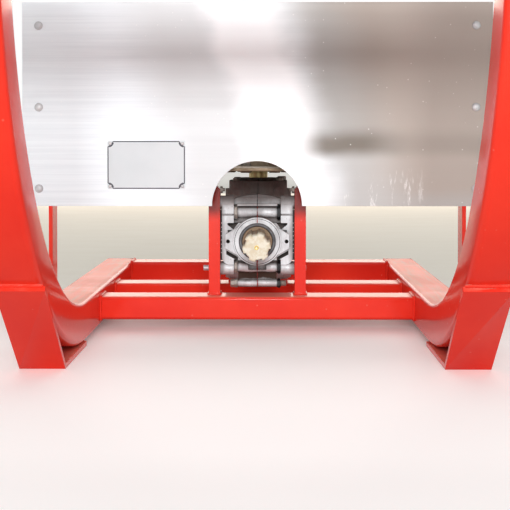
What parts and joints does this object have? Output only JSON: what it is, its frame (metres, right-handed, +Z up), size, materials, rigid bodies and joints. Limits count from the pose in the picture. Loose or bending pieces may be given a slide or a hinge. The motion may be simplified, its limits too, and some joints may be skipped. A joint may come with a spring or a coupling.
{
  "type": "fertilizer spreader base frame with drive gearbox",
  "caption": "Low frame of square tubes bent up into hitch legs, with a splined bevel gearbox, arched sheet guard and a vaned spreading disc.",
  "frame": {"origin": "on the floor, at the middle of the overall length and width", "axes": "+X to the machine's right seen from the hitch end, +Y to the rear, +Z up; the drive shaft stub points to -Y"},
  "size_m": [0.793, 0.976, 0.528],
  "materials": {
    "red_paint": "gloss red enamel",
    "cast_aluminium": "bare die-cast",
    "stainless_sheet": "horizontally brushed",
    "zinc_steel": "yellow passivated zinc",
    "disc_steel": "dull yellow passivated",
    "seal_rubber": "matt",
    "black_plastic": "moulded"
  },
  "bodies": {
    "frame": {"rail_left": "red_paint", "rail_plug_left": "black_plastic", "shoe_left": "red_paint", "rear_foot_left": "red_paint", "upright_left": "red_paint", "gearbox_left": "cast_aluminium", "guard_bracket_left": "red_paint", "guard_stay_left": "red_paint", "hitch_plate_left": "red_paint", "hitch_pin_left": "zinc_steel", "leg_flange_left": "red_paint", "rail_right": "red_paint", "rail_plug_right": "black_plastic", "shoe_right": "red_paint", "rear_foot_right": "red_paint", "upright_right": "red_paint", "gearbox_right": "cast_aluminium", "guard_bracket_right": "red_paint", "guard_stay_right": "red_paint", "hitch_plate_right": "red_paint", "hitch_pin_right": "zinc_steel", "leg_flange_right": "red_paint", "cross_tube_front": "red_paint", "cross_tube_middle": "red_paint", "cross_tube_rear": "red_paint", "gearbox_saddle": "red_paint", "input_seal": "seal_rubber", "guard_plate": "stainless_sheet", "hitch_bar": "red_paint"},
    "output": {"output_hub": "zinc_steel", "spreading_disc": "disc_steel", "disc_cap": "stainless_sheet", "vane_1": "disc_steel", "vane_2": "disc_steel", "vane_3": "disc_steel", "vane_4": "disc_steel"},
    "input": {"input_shaft": "zinc_steel"}
  },
  "joints": [
    {"name": "disc_spin", "type": "hinge", "parent": "frame", "child": "output", "pos_m": [0, 0.256, 0.208], "axis": [0, 0, 1], "continuous": true},
    {"name": "input_spin", "type": "hinge", "parent": "frame", "child": "input", "pos_m": [0, 0.083, 0.115], "axis": [0, -1, 0], "continuous": true}
  ],
  "couplings": [
    {"joint": "input_spin", "follows": "disc_spin", "ratio": 0.68182}
  ]
}
